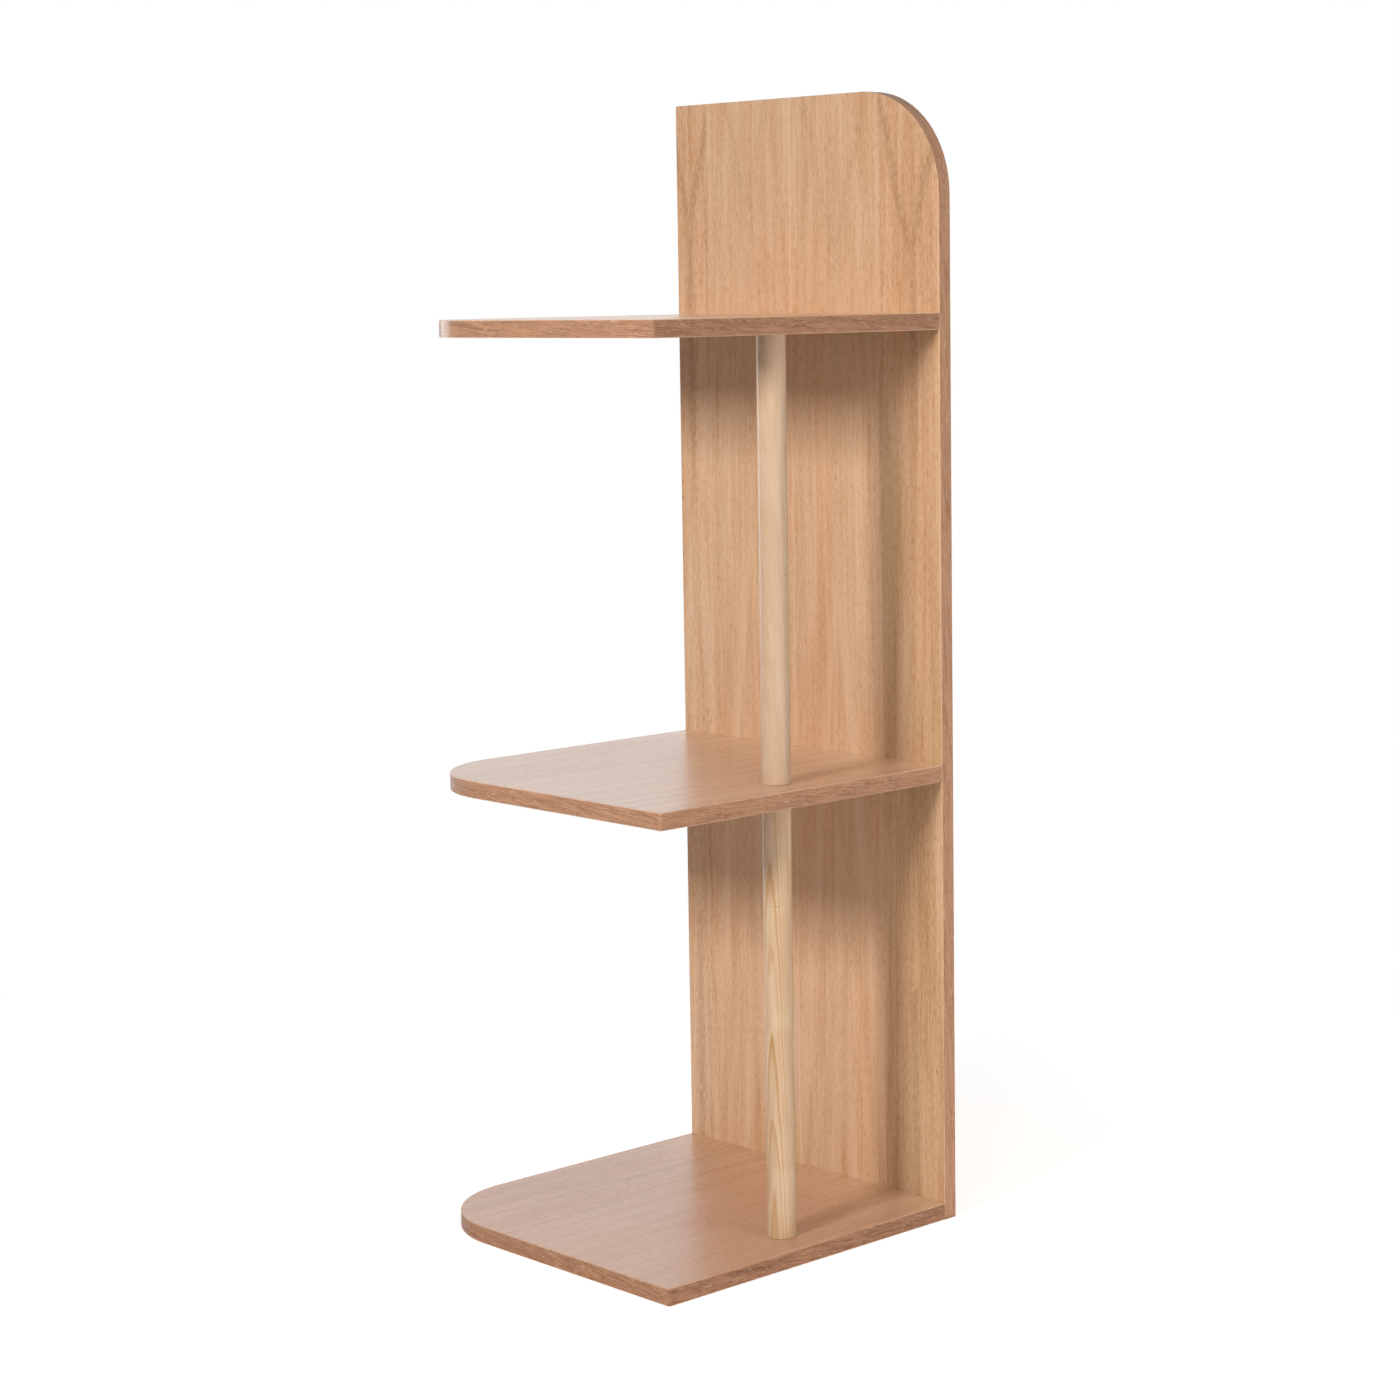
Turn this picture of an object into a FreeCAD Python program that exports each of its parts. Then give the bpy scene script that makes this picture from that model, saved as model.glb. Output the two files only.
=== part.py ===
import FreeCAD, Part
import math
import os

# Overall sizes in millimetres: a back panel on the floor and shelves butted against its face.
width = 400.0
height = 1200.0
shelf_depth = 400.0
bay_height = 457.0  # clear height between two shelves
board_thickness = 18.0
panel_corner_radius = 110.0  # the panel's one rounded corner, top right
shelf_corner_radius = 110.0  # each shelf's one rounded corner, front left
corner_round = 2.0  # the other free corners
edge_round = 1.2  # arrises of every free edge

# Layers of a board: a core, solid lippings round it and a veneer over each face.
veneer_thickness = 0.6
lipping_thickness = 3.0

# Posts: one in each bay, near the right-hand edge.
post_diameter = 30.0
post_side_inset = 45.0  # shelf's right edge to post axis
post_setback = 200.0  # shelf's front edge to post axis
post_end_chamfer = 0.5

# Threaded hardware on the post axis.
stud_diameter = 8.0
stud_hole_clearance = 0.3
thread_clearance = 0.05
insert_diameter = 12.0
insert_length = 20.0
insert_clearance = 0.05
stud_engagement = 15.0  # thread length inside a post's insert
shelf_insert_length = 11.0
shelf_stud_engagement = 9.0  # thread length inside the top shelf's insert
bolt_head_diameter = 16.0
bolt_head_recess = 0.3
bolt_head_clearance = 0.2
hex_socket_width = 5.0
hex_socket_depth = 3.0

# Cam locks in the undersides of the shelves, turning on upright axes.
cam_diameter = 15.0
cam_cover = 3.7  # board left above the cam's hole
cam_recess = 0.3
cam_running_clearance = 0.05
cam_end_clearance = 0.3
cam_backset = 34.0  # shelf's rear edge to cam axis
cam_side_inset = 60.0  # shelf's side to cam axis
cam_eccentricity = 0.8
cam_slot_clearance = 0.3
driver_slot_length = 8.0
driver_slot_width = 1.6
driver_slot_depth = 3.0
cam_mark_width = 2.0
cam_mark_depth = 0.5

# Cam bolts, screwed into the panel and gripped behind their heads.
cam_bolt_seat = 3.2  # cam axis to the shoulder of the head
cam_bolt_head_diameter = 6.4
cam_bolt_head_length = 2.8
cam_bolt_neck_diameter = 4.4
cam_bolt_neck_margin = 0.6  # neck standing out of the cam
cam_bolt_shank_diameter = 5.8
cam_bolt_collar_diameter = 7.6
cam_bolt_collar_length = 3.0
cam_bolt_thread_diameter = 6.6
cam_bolt_thread_length = 11.0
cam_bolt_bore_clearance = 0.2

# Wooden dowels beside the cam bolts, towards the middle of the shelf.
dowel_diameter = 8.0
dowel_length = 30.0
dowel_panel_depth = 11.0
dowel_spacing = 32.0  # cam axis to dowel axis
dowel_clearance = 0.05
dowel_chamfer = 1.0

# Shared by every drilled hole and every cut.
drill_end_clearance = 1.0
overrun = 1.0
touch_tolerance = 0.001

# The origin is on the floor under the middle of the overall box, with the shelves towards -Y.
half_width = width / 2
half_depth = (shelf_depth + board_thickness) / 2
shelf_front = -half_depth
panel_front = half_depth - board_thickness
post_x = half_width - post_side_inset
post_y = shelf_front + post_setback
cam_y = panel_front - cam_backset
joint_level = board_thickness / 2  # cam bolts and dowels lie in the middle of the shelf
shelf_pitch = board_thickness + bay_height
shelf_levels = {"bottom": 0.0, "middle": shelf_pitch, "top": 2 * shelf_pitch}
cam_places = {"left": cam_side_inset - half_width, "right": half_width - cam_side_inset}
dowel_places = [cam_places["left"] + dowel_spacing, cam_places["right"] - dowel_spacing]
core_inset = lipping_thickness
cam_height = board_thickness - cam_cover - cam_recess - cam_end_clearance


def vector(x, y, z):
    return FreeCAD.Vector(x, y, z)


def moved(shape, x, y, z):
    copy = shape.copy()
    copy.translate(vector(x, y, z))
    return copy


# Turns a shape built along +Z so that it points along +Y.
def laid_back(shape):
    copy = shape.copy()
    copy.rotate(vector(0, 0, 0), vector(1, 0, 0), -90)
    return copy


# A face in the plane z = 0 through right-angled corners, each given as x, y and its radius.
def outline_face(corners):
    places = [vector(x, y, 0) for x, y, radius in corners]
    arc_starts = []
    arc_ends = []
    edges = []
    for index, (x, y, radius) in enumerate(corners):
        back = (places[index - 1] - places[index]).normalize()
        ahead = (places[(index + 1) % len(places)] - places[index]).normalize()
        arc_starts.append(places[index] + back * radius)
        arc_ends.append(places[index] + ahead * radius)
        if radius > 0:
            inward = back + ahead
            middle = places[index] + inward * radius - inward.normalize() * radius
            edges.append(Part.Arc(arc_starts[index], middle, arc_ends[index]).toShape())
    for index, end in enumerate(arc_ends):
        edges.append(Part.LineSegment(end, arc_starts[(index + 1) % len(corners)]).toShape())
    return Part.Face(Part.Wire(Part.__sortEdges__(edges)))


# A whole board lying flat, with its arrises eased except along the edge at butted_y.
def rounded_board(corners, butted_y):
    board = outline_face(corners).extrude(vector(0, 0, board_thickness))
    arrises = []
    for edge in board.Edges:
        box = edge.BoundBox
        is_level = box.ZLength < touch_tolerance
        is_butted = box.YLength < touch_tolerance and abs(box.YMin - butted_y) < touch_tolerance
        if is_level and not is_butted:
            arrises.append(edge)
    return board.makeFillet(edge_round, arrises)


# A box that holds whatever part of a flat-lying board is between the given limits.
def block(low_x, high_x, low_y, high_y, low_z, high_z):
    corner = vector(low_x, low_y, low_z)
    return Part.makeBox(high_x - low_x, high_y - low_y, high_z - low_z, corner)


# Splits a flat-lying board into its two veneers, its core and the ring of wood round the core.
def board_layers(board, core_corners):
    box = board.BoundBox
    wide = [box.XMin - overrun, box.XMax + overrun, box.YMin - overrun, box.YMax + overrun]
    veneer_top = board_thickness - veneer_thickness
    lower = board.common(block(*wide, 0, veneer_thickness))
    upper = board.common(block(*wide, veneer_top, board_thickness))
    between = board.common(block(*wide, veneer_thickness, veneer_top))
    core_prism = outline_face(core_corners).extrude(vector(0, 0, board_thickness))
    return {
        "lower_veneer": lower,
        "upper_veneer": upper,
        "core": between.common(core_prism),
        "ring": between.cut(core_prism),
    }


# A solid of revolution about Z through points given as radius and height.
def turned(profile):
    points = [vector(radius, 0, level) for radius, level in profile]
    face = Part.Face(Part.makePolygon(points + [points[0]]))
    return face.revolve(vector(0, 0, 0), vector(0, 0, 1), 360)


def drilled(radius, depth):
    return Part.makeCylinder(radius, depth)


# Holes that every shelf has at its rear edge, with the shelf's underside at z = 0.
def shelf_joint_holes():
    cam_hole = drilled(cam_diameter / 2 + cam_running_clearance, board_thickness - cam_cover + overrun)
    bolt_bore = laid_back(drilled(cam_bolt_collar_diameter / 2 + cam_bolt_bore_clearance, cam_backset + overrun))
    dowel_depth = dowel_length - dowel_panel_depth + drill_end_clearance
    dowel_hole = laid_back(drilled(dowel_diameter / 2 + dowel_clearance, dowel_depth + overrun))
    holes = []
    for x in cam_places.values():
        holes.append(moved(cam_hole, x, cam_y, -overrun))
        holes.append(moved(bolt_bore, x, cam_y, joint_level))
    for x in dowel_places:
        holes.append(moved(dowel_hole, x, panel_front - dowel_depth, joint_level))
    return holes


# Holes in the panel's face for one shelf's cam bolts and dowels.
def panel_joint_holes(level):
    bolt_depth = cam_bolt_thread_length + drill_end_clearance
    dowel_depth = dowel_panel_depth + drill_end_clearance
    bolt_hole = laid_back(drilled(cam_bolt_thread_diameter / 2 + thread_clearance, bolt_depth + overrun))
    dowel_hole = laid_back(drilled(dowel_diameter / 2 + dowel_clearance, dowel_depth + overrun))
    places = [(bolt_hole, x) for x in cam_places.values()] + [(dowel_hole, x) for x in dowel_places]
    return [moved(hole, x, panel_front - overrun, level + joint_level) for hole, x in places]


# The countersunk head and shank of the bolt under the bottom shelf, grown by a clearance.
def bolt_profile(head_gap, shank_gap, top):
    head_radius = bolt_head_diameter / 2 + head_gap
    shank_radius = stud_diameter / 2 + shank_gap
    neck_level = bolt_head_recess + head_radius - shank_radius
    return [
        (0, bolt_head_recess),
        (head_radius, bolt_head_recess),
        (shank_radius, neck_level),
        (shank_radius, top),
        (0, top),
    ]


# The hole on the post axis of each shelf, with the shelf's underside at z = 0.
def post_holes():
    shank_hole = drilled(stud_diameter / 2 + stud_hole_clearance, board_thickness + 2 * overrun)
    insert_depth = shelf_insert_length + drill_end_clearance
    blind_hole = drilled(insert_diameter / 2 + insert_clearance, insert_depth + overrun)
    sink = turned(bolt_profile(bolt_head_clearance, stud_hole_clearance, board_thickness + overrun))
    mouth = drilled(bolt_head_diameter / 2 + bolt_head_clearance, bolt_head_recess + overrun)
    return {
        "bottom": [moved(sink, post_x, post_y, 0), moved(mouth, post_x, post_y, -overrun)],
        "middle": [moved(shank_hole, post_x, post_y, -overrun)],
        "top": [moved(blind_hole, post_x, post_y, -overrun)],
    }


def shelf_corners(inset):
    return [
        (half_width - inset, panel_front, 0),
        (inset - half_width, panel_front, 0),
        (inset - half_width, shelf_front + inset, shelf_corner_radius - inset),
        (half_width - inset, shelf_front + inset, 0 if inset else corner_round),
    ]


# The five pieces of each shelf, the same board at each level with its own hole for the posts.
def add_shelves(nodes):
    layers = board_layers(rounded_board(shelf_corners(0), panel_front), shelf_corners(core_inset))
    right_side = block(
        half_width - lipping_thickness, half_width + overrun,
        shelf_front - overrun, panel_front + overrun,
        -overrun, board_thickness + overrun,
    )
    joint_holes = shelf_joint_holes()
    for name, holes in post_holes().items():
        level = shelf_levels[name]
        pieces = {
            "core": layers["core"].cut(joint_holes + holes),
            "top_veneer": layers["upper_veneer"].cut(holes),
            "underside_veneer": layers["lower_veneer"].cut(joint_holes + holes),
            "contour_lipping": layers["ring"].cut(right_side),
            "right_lipping": layers["ring"].common(right_side),
        }
        for piece, shape in pieces.items():
            nodes[name + "_shelf_" + piece] = moved(shape, 0, 0, level)


# The panel is laid out flat, face up, with its foot along y = 0, and then stood up.
def add_panel(nodes):
    corners = [
        (-half_width, 0, 0),
        (half_width, 0, 0),
        (half_width, height, panel_corner_radius),
        (-half_width, height, corner_round),
    ]
    core_corners = [
        (core_inset - half_width, core_inset, 0),
        (half_width - core_inset, core_inset, 0),
        (half_width - core_inset, height - core_inset, panel_corner_radius - core_inset),
        (core_inset - half_width, height - core_inset, 0),
    ]
    layers = board_layers(rounded_board(corners, 0), core_corners)
    across = [-half_width - overrun, half_width + overrun]
    left_strip = [-half_width - overrun, lipping_thickness - half_width]
    through = [-overrun, board_thickness + overrun]
    foot = block(*across, -overrun, lipping_thickness, *through)
    left_side = block(*left_strip, lipping_thickness, height - lipping_thickness, *through)
    flat_pieces = {
        "core": layers["core"],
        "front_veneer": layers["upper_veneer"],
        "rear_veneer": layers["lower_veneer"],
        "contour_lipping": layers["ring"].cut([foot, left_side]),
        "left_lipping": layers["ring"].common(left_side),
        "foot_lipping": layers["ring"].common(foot),
    }
    holes = []
    for level in shelf_levels.values():
        holes += panel_joint_holes(level)
    for piece, shape in flat_pieces.items():
        shape.rotate(vector(0, 0, 0), vector(1, 0, 0), 90)
        shape.translate(vector(0, half_depth, 0))
        drilled_pieces = ["core", "front_veneer"]
        nodes["panel_" + piece] = shape.cut(holes) if piece in drilled_pieces else shape


# A post with eased ends, each drilled for a threaded insert.
def add_posts(nodes):
    radius = post_diameter / 2
    post = turned([
        (0, 0),
        (radius - post_end_chamfer, 0),
        (radius, post_end_chamfer),
        (radius, bay_height - post_end_chamfer),
        (radius - post_end_chamfer, bay_height),
        (0, bay_height),
    ])
    hole_depth = insert_length + drill_end_clearance
    hole = drilled(insert_diameter / 2 + insert_clearance, hole_depth + overrun)
    post = post.cut([moved(hole, 0, 0, -overrun), moved(hole, 0, 0, bay_height - hole_depth)])
    nodes["lower_post"] = moved(post, post_x, post_y, board_thickness)
    nodes["upper_post"] = moved(post, post_x, post_y, shelf_pitch + board_thickness)


def threaded_insert(length):
    bore = stud_diameter / 2 + thread_clearance
    return turned([(bore, 0), (insert_diameter / 2, 0), (insert_diameter / 2, length), (bore, length)])


def hex_prism(across_flats, length):
    corner_radius = across_flats / math.sqrt(3)
    turns = [math.radians(60 * step) for step in range(7)]
    points = [vector(corner_radius * math.cos(turn), corner_radius * math.sin(turn), 0) for turn in turns]
    return Part.Face(Part.makePolygon(points)).extrude(vector(0, 0, length))


# Inserts, studs and the bottom bolt, all on the post axis.
def add_post_hardware(nodes):
    insert = threaded_insert(insert_length)
    insert_levels = []
    for post_foot in [board_thickness, shelf_pitch + board_thickness]:
        insert_levels += [post_foot, post_foot + bay_height - insert_length]
    nodes["post_inserts"] = Part.makeCompound([moved(insert, post_x, post_y, level) for level in insert_levels])
    nodes["top_shelf_insert"] = moved(threaded_insert(shelf_insert_length), post_x, post_y, shelf_levels["top"])

    stud_radius = stud_diameter / 2
    middle_stud = drilled(stud_radius, board_thickness + 2 * stud_engagement)
    nodes["middle_stud"] = moved(middle_stud, post_x, post_y, shelf_levels["middle"] - stud_engagement)
    top_stud = drilled(stud_radius, stud_engagement + shelf_stud_engagement)
    nodes["top_stud"] = moved(top_stud, post_x, post_y, shelf_levels["top"] - stud_engagement)

    bolt = turned(bolt_profile(0, 0, board_thickness + stud_engagement))
    socket = moved(hex_prism(hex_socket_width, hex_socket_depth + overrun), 0, 0, bolt_head_recess - overrun)
    nodes["bottom_bolt"] = moved(bolt.cut(socket), post_x, post_y, 0)


# A cam with its axis at x = y = 0 and its outer face at z = 0, locked, with the bolt towards +Y.
# The eccentric hollow draws the bolt's head in, and the mouth at -Y lets the head out after half a turn.
def cam_lock():
    radius = cam_diameter / 2
    slot_level = joint_level - cam_recess
    head_radius = cam_bolt_head_diameter / 2
    mouth_radius = head_radius + cam_slot_clearance
    slot_radius = cam_bolt_neck_diameter / 2 + cam_slot_clearance
    hollow_radius = math.hypot(head_radius, cam_bolt_seat + cam_eccentricity) + cam_slot_clearance
    reach = radius + overrun

    hollow = moved(drilled(hollow_radius, 2 * mouth_radius), 0, -cam_eccentricity, slot_level - mouth_radius)
    mouth = moved(laid_back(drilled(mouth_radius, reach)), 0, -reach, slot_level)
    neck_end = moved(laid_back(drilled(slot_radius, reach)), 0, 0, slot_level)
    neck_sweep = block(-reach, 0, -reach, reach, slot_level - slot_radius, slot_level + slot_radius)
    long_half = driver_slot_length / 2
    short_half = driver_slot_width / 2
    driver_slots = [
        block(-long_half, long_half, -short_half, short_half, -overrun, driver_slot_depth),
        block(-short_half, short_half, -long_half, long_half, -overrun, driver_slot_depth),
    ]
    mark_half = cam_mark_width / 2
    mark = block(-mark_half, mark_half, -reach, cam_mark_width - radius, -overrun, cam_mark_depth)
    body = drilled(radius, cam_height)
    return body.cut([hollow, mouth, neck_end, neck_sweep, mark] + driver_slots)


# A cam bolt along +Y with the cam axis at y = 0.
def cam_bolt():
    neck_end = cam_diameter / 2 + cam_bolt_neck_margin
    collar_start = cam_backset - cam_bolt_collar_length
    tip = cam_backset + cam_bolt_thread_length
    profile = [(0, cam_bolt_seat - cam_bolt_head_length)]
    stretches = [
        (cam_bolt_head_diameter, cam_bolt_seat - cam_bolt_head_length, cam_bolt_seat),
        (cam_bolt_neck_diameter, cam_bolt_seat, neck_end),
        (cam_bolt_shank_diameter, neck_end, collar_start),
        (cam_bolt_collar_diameter, collar_start, cam_backset),
        (cam_bolt_thread_diameter, cam_backset, tip),
    ]
    for diameter, start, end in stretches:
        profile += [(diameter / 2, start), (diameter / 2, end)]
    return laid_back(turned(profile + [(0, tip)]))


# A dowel along +Y with its panel end at y = 0.
def dowel():
    radius = dowel_diameter / 2
    return laid_back(turned([
        (0, -dowel_length),
        (radius - dowel_chamfer, -dowel_length),
        (radius, dowel_chamfer - dowel_length),
        (radius, -dowel_chamfer),
        (radius - dowel_chamfer, 0),
        (0, 0),
    ]))


# Cams are separate pieces that turn, and the bolts and the dowels are a group each.
def add_shelf_joints(nodes):
    lock = cam_lock()
    bolt = cam_bolt()
    pin = dowel()
    bolts = []
    dowels = []
    for shelf, level in shelf_levels.items():
        for side, x in cam_places.items():
            nodes[shelf + "_" + side + "_cam"] = moved(lock, x, cam_y, level + cam_recess)
            bolts.append(moved(bolt, x, cam_y, level + joint_level))
        for x in dowel_places:
            dowels.append(moved(pin, x, panel_front + dowel_panel_depth, level + joint_level))
    nodes["cam_bolts"] = Part.makeCompound(bolts)
    nodes["dowels"] = Part.makeCompound(dowels)


nodes = {}
add_panel(nodes)
add_shelves(nodes)
add_posts(nodes)
add_post_hardware(nodes)
add_shelf_joints(nodes)

os.makedirs("parts", exist_ok=True)
for name, shape in nodes.items():
    shape.exportStep("parts/" + name + ".step")
    print(name, "solids", len(shape.Solids), "valid", shape.isValid(), "volume", round(shape.Volume, 1))
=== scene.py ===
import math

import bmesh
import bpy
from mathutils import Matrix, Vector


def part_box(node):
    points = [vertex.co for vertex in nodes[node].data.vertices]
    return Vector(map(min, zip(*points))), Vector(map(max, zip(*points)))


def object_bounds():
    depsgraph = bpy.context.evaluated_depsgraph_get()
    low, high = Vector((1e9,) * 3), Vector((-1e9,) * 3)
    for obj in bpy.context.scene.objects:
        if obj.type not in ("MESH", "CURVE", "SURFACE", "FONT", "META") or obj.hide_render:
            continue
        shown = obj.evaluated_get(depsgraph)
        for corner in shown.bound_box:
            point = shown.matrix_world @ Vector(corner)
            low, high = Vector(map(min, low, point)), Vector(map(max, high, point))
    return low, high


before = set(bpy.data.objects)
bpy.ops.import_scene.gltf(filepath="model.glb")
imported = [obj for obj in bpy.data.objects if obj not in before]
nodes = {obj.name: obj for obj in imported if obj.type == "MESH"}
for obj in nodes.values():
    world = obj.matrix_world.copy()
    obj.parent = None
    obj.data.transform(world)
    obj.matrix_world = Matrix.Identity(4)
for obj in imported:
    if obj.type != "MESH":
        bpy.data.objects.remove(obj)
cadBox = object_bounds()
toMillimetres = 1000.0
untinted = (1.0, 1.0, 1.0, 1.0)


# small helpers for wiring shader nodes

def wire(tree, value, socket):
    if isinstance(value, bpy.types.NodeSocket):
        tree.links.new(value, socket)
    else:
        socket.default_value = value


def maths(tree, operation, *values):
    node = tree.nodes.new("ShaderNodeMath")
    node.operation = operation
    for value, socket in zip(values, node.inputs):
        wire(tree, value, socket)
    return node.outputs[0]


def times(tree, first, second):
    return maths(tree, "MULTIPLY", first, second)


def minus(tree, first, second):
    return maths(tree, "SUBTRACT", first, second)


def total(tree, *values):
    result = values[0]
    for value in values[1:]:
        result = maths(tree, "ADD", result, value)
    return result


def limited(tree, value):  # held between nought and one
    return maths(tree, "MAXIMUM", maths(tree, "MINIMUM", value, 1.0), 0.0)


def lengthOf(tree, *parts):
    squares = [times(tree, part, part) for part in parts]
    return maths(tree, "SQRT", total(tree, *squares))


def fade(tree, value, start, end, low=0.0, high=1.0):  # a soft step from low to high
    node = tree.nodes.new("ShaderNodeMapRange")
    node.interpolation_type = "SMOOTHSTEP"
    wire(tree, value, node.inputs["Value"])
    node.inputs["From Min"].default_value = start
    node.inputs["From Max"].default_value = end
    node.inputs["To Min"].default_value = low
    node.inputs["To Max"].default_value = high
    return node.outputs["Result"]


def joinXyz(tree, x, y, z):
    node = tree.nodes.new("ShaderNodeCombineXYZ")
    for value, socket in zip((x, y, z), node.inputs):
        wire(tree, value, socket)
    return node.outputs[0]


def noise(tree, place, detail=2.0, rough=0.5):
    node = tree.nodes.new("ShaderNodeTexNoise")
    tree.links.new(place, node.inputs["Vector"])
    node.inputs["Scale"].default_value = 1.0
    node.inputs["Detail"].default_value = detail
    node.inputs["Roughness"].default_value = rough
    return node.outputs["Fac"]


def evenNoise(tree, place, size, detail=2.0, rough=0.5):  # one size in every direction
    scaled = [maths(tree, "DIVIDE", value, size) for value in place]
    return noise(tree, joinXyz(tree, *scaled), detail, rough)


def grain(tree, across, along, size, seed, detail=1.0, rough=0.5):  # noise drawn out along the fibres
    width, length = size
    x = maths(tree, "DIVIDE", across, width)
    y = maths(tree, "DIVIDE", along, length)
    return noise(tree, joinXyz(tree, x, y, seed), detail, rough)


def swing(tree, value, amount):  # noise turned into a plus and minus amount
    return times(tree, minus(tree, value, 0.5), amount)


def mixColour(tree, share, first, second, blend="MIX"):
    node = tree.nodes.new("ShaderNodeMix")
    node.data_type = "RGBA"
    node.blend_type = blend
    wire(tree, share, node.inputs["Factor"])
    wire(tree, first, node.inputs[6])  # the colour sockets A and B
    wire(tree, second, node.inputs[7])
    return node.outputs[2]


def bumpOf(tree, height, depth, strength):
    node = tree.nodes.new("ShaderNodeBump")
    node.inputs["Strength"].default_value = strength
    node.inputs["Distance"].default_value = depth
    tree.links.new(height, node.inputs["Height"])
    return node.outputs["Normal"]


def placeInMillimetres(tree):
    coordinates = tree.nodes.new("ShaderNodeTexCoord")
    scaled = tree.nodes.new("ShaderNodeVectorMath")
    scaled.operation = "SCALE"
    scaled.inputs["Scale"].default_value = toMillimetres
    tree.links.new(coordinates.outputs["Object"], scaled.inputs[0])
    parts = tree.nodes.new("ShaderNodeSeparateXYZ")
    tree.links.new(scaled.outputs[0], parts.inputs[0])
    return parts.outputs[0], parts.outputs[1], parts.outputs[2]


def startMaterial(name):
    material = bpy.data.materials.new(name)
    material.use_nodes = True
    tree = material.node_tree
    tree.nodes.clear()
    shader = tree.nodes.new("ShaderNodeBsdfPrincipled")
    output = tree.nodes.new("ShaderNodeOutputMaterial")
    tree.links.new(shader.outputs[0], output.inputs["Surface"])
    return material, tree, shader


def dress(material, *names):
    for name in names:
        for slot in nodes[name].material_slots:
            slot.material = material


# oak face veneer, sliced leaves laid side by side under satin lacquer
# sizes are in millimetres, across and along the grain

oakLook = {
    "pale": (0.655, 0.431, 0.274, 1.0),
    "dark": (0.365, 0.160, 0.046, 1.0),
    "ring": (0.355, 0.212, 0.112, 1.0),  # porous early wood
    "ray": (0.680, 0.490, 0.345, 1.0),
    "seam": (0.700, 0.500, 0.340, 1.0),
    "rosy": (1.0, 0.935, 0.890, 1.0),  # tints laid over the wood
    "amber": (0.895, 0.880, 0.800, 1.0),
    "speck": (0.120, 0.065, 0.035, 1.0),
    "drift": 14.0,  # how far the fibres wander sideways
    "driftSize": (90.0, 600.0),
    "lineSize": (1.7, 60.0),
    "fleckSize": (1.0, 9.0),
    "poreSize": (0.9, 6.0),
    "raySize": (1.4, 10.0),
    "toneSize": (40.0, 420.0),
    "bandFigure": 0.50,  # how much each layer shows; of a pair, the first is added on figured wood
    "streakShow": (0.45, 0.34),
    "streakRough": 0.6,
    "lineShow": (0.25, 0.38),
    "fleckShow": (0.20, 0.42),
    "rayShow": (0.35, 0.16),  # the first is added on early wood
    "dashShow": 0.06,
    "poreShow": 0.24,
    "poresOnRings": 0.10,
    "ringFade": (0.36, 0.60),  # where the noise of each layer fades in
    "dashFade": (0.50, 0.70),
    "poreFade": (0.58, 0.70),
    "rayFade": (0.58, 0.72),
    "flameFade": (0.50, 0.30),
    "toneFade": (0.36, 0.64),
    "amberFade": (950.0, 700.0),  # heights between which a leaf turns yellower
    "seamFade": (1.2, 0.3),
    "speckSquash": 0.4,
    "speckCore": 0.3,
    "speckShow": 0.7,
    "gloss": 0.36,
    "poreGloss": 0.08,
    "darkGloss": 0.05,
    "poreDepth": 0.000012,
    "darkDepth": 0.35,  # as a share of the pores' depth
    "bump": 0.5,
}
oakSeeds = {
    "wander": 1.3, "band": 2.1, "streak": 3.7, "line": 4.6, "fleck": 5.2, "pore": 6.8,
    "flame": 7.7, "ray": 8.4, "tone": 9.9,
}


def archedFigure(tree, across, along, right, look):  # arms of early wood on each leaf's heart line
    seed = look["seed"]
    outer = maths(tree, "GREATER_THAN", across, look["leafWidth"])
    heart = maths(tree, "MULTIPLY_ADD", right, look["heartShift"], look["outerHeart"] - look["innerHeart"])
    heart = maths(tree, "MULTIPLY_ADD", outer, heart, look["innerHeart"])
    off = maths(tree, "ABSOLUTE", minus(tree, across, heart))
    wander = grain(tree, across, along, look["wanderSize"], seed + oakSeeds["wander"])
    rise = total(tree, along, -look["archTip"], swing(tree, wander, look["archWander"]))
    spacing = look["archSpacing"]
    rise = maths(tree, "FLOORED_MODULO", rise, spacing)
    width = look["armWidth"]
    arm = maths(tree, "ABSOLUTE", maths(tree, "MULTIPLY_ADD", rise, -look["archSlope"], off))
    arms = times(tree, fade(tree, arm, width, 0.0), fade(tree, along, *look["armsFrom"]))
    stemFade = [share * spacing for share in look["stemFade"]]
    stem = times(tree, fade(tree, off, width, 0.0), fade(tree, rise, *stemFade))
    figure = maths(tree, "MULTIPLY_ADD", outer, look["figure"] - look["calm"], look["calm"])
    leaning = maths(tree, "MULTIPLY_ADD", along, look["flameLean"], off)
    flame = grain(tree, leaning, along, look["flameSize"], seed + oakSeeds["flame"])
    return times(tree, maths(tree, "MAXIMUM", arms, stem), figure), figure, flame


def linedFigure(tree, across, along, look):  # growth lines side by side
    seed = look["seed"]
    heart = maths(tree, "ABSOLUTE", minus(tree, across, look["heartAt"]))
    wander = grain(tree, heart, along, look["wanderSize"], seed + oakSeeds["wander"])
    wandering = total(tree, heart, swing(tree, wander, look["lineWander"]))
    inLine = maths(tree, "FRACT", maths(tree, "DIVIDE", wandering, look["lineWidth"]))
    lines = times(tree, fade(tree, inLine, *look["lineRise"]), fade(tree, inLine, *look["lineFall"]))
    off = maths(tree, "ABSOLUTE", minus(tree, across, look["figureAt"]))
    figure = fade(tree, off, *look["figureFade"], look["calm"], look["figure"])
    flame = grain(tree, across, along, look["flameSize"], seed + oakSeeds["flame"])
    return times(tree, lines, figure), figure, flame


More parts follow.
